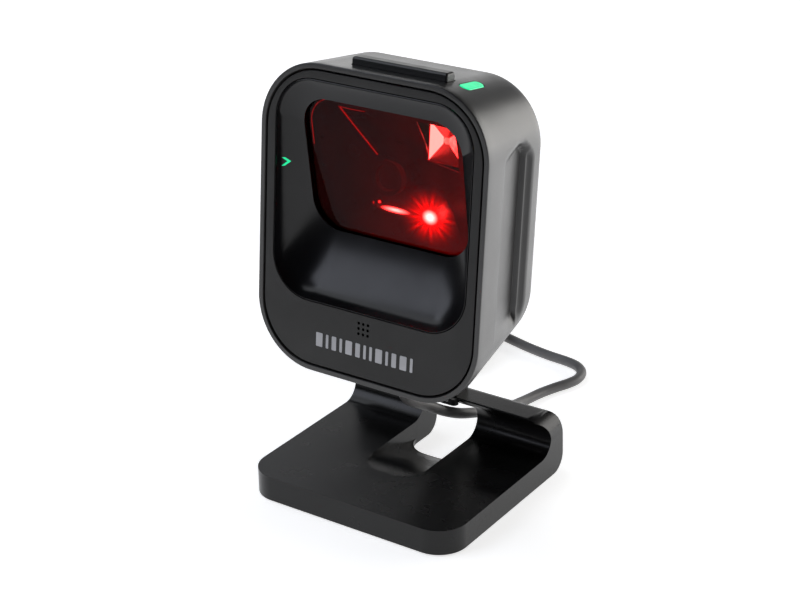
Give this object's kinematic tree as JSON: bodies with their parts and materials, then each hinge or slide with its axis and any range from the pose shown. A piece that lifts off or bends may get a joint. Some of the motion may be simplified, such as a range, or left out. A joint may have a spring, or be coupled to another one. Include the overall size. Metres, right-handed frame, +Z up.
{
  "type": "presentation barcode scanner",
  "caption": "Hands-free imaging barcode scanner: a rounded head with a recessed scan window, tilting on a low desk stand, with a coiled USB lead.",
  "frame": {"origin": "on the table, midway between the sides and between the front and back of the stand and head", "axes": "+Z up; the scan window looks along -Y, leaning back 5.4 degrees; +X is on the right of a viewer who looks along +Y at the window"},
  "size_m": [0.135, 0.1577, 0.1516],
  "materials": {
    "gloss_black": "high gloss black plastic",
    "satin_black": "satin black plastic",
    "matte_black": "fine matte black plastic",
    "window_red": "dark red transparent filter",
    "rubber": "dull black rubber or moulded part",
    "steel": "plated steel",
    "dark_steel": "blackened steel",
    "board": "green solder resist",
    "white": "white moulded plastic",
    "red_led": "clear red lamp body",
    "green_light": "green light guide",
    "lens": "coated lens",
    "cable": "matte dark grey cable jacket",
    "strap": "woven hook-and-loop strap"
  },
  "bodies": {
    "stand": {"stand_body": "gloss_black", "base_cover": "matte_black", "ballast_plate": "dark_steel", "rubber_foot_1": "rubber", "rubber_foot_2": "rubber", "rubber_foot_3": "rubber", "rubber_foot_4": "rubber", "base_screw_1": "steel", "base_screw_2": "steel", "base_screw_3": "steel", "base_screw_4": "steel", "neck_arm": "satin_black", "neck_screw_1": "steel", "neck_screw_2": "steel", "hinge_pin": "steel", "friction_washer_left": "rubber", "friction_washer_right": "rubber", "hinge_nut": "steel", "cable_run": "cable", "cable_coil": "cable", "coil_tie": "strap", "usb_plug_body": "satin_black", "usb_plug_shell": "steel"},
    "head": {"rear_housing": "satin_black", "hinge_bracket": "dark_steel", "bracket_screw_1": "steel", "bracket_screw_2": "steel", "front_bezel": "matte_black", "window_hood": "gloss_black", "scan_window": "window_red", "window_gasket": "rubber", "good_read_light": "green_light", "cover_screw_left": "steel", "cover_screw_right": "steel", "optics_frame": "matte_black", "illumination_board": "board", "illumination_led_1": "red_led", "illumination_led_2": "red_led", "illumination_led_3": "red_led", "led_reflector": "white", "aiming_led": "red_led", "camera_barrel": "satin_black", "camera_lens": "lens", "camera_board": "board", "main_board": "board", "speaker_mesh": "dark_steel", "beeper": "rubber", "status_light_pipe": "green_light", "status_led": "white", "button_board": "board", "trigger_switch": "rubber", "trigger_spring": "steel", "cable_socket": "matte_black", "cable_plug": "satin_black", "strain_relief": "rubber"},
    "button": {"trigger_button": "satin_black"}
  },
  "joints": [
    {"name": "head_tilt", "type": "hinge", "parent": "stand", "child": "head", "pos_m": [0, 0.0133, 0.0488], "axis": [1, 0, 0], "range_deg": [-15, 25], "deforming": ["cable_run"]},
    {"name": "trigger_press", "type": "slide", "parent": "head", "child": "button", "axis": [0, -0.0941, -0.9956], "range_m": [0, 0.0008], "stiffness_N_per_m": 200, "springref_m": -0.001, "deforming": ["trigger_spring"]}
  ]
}
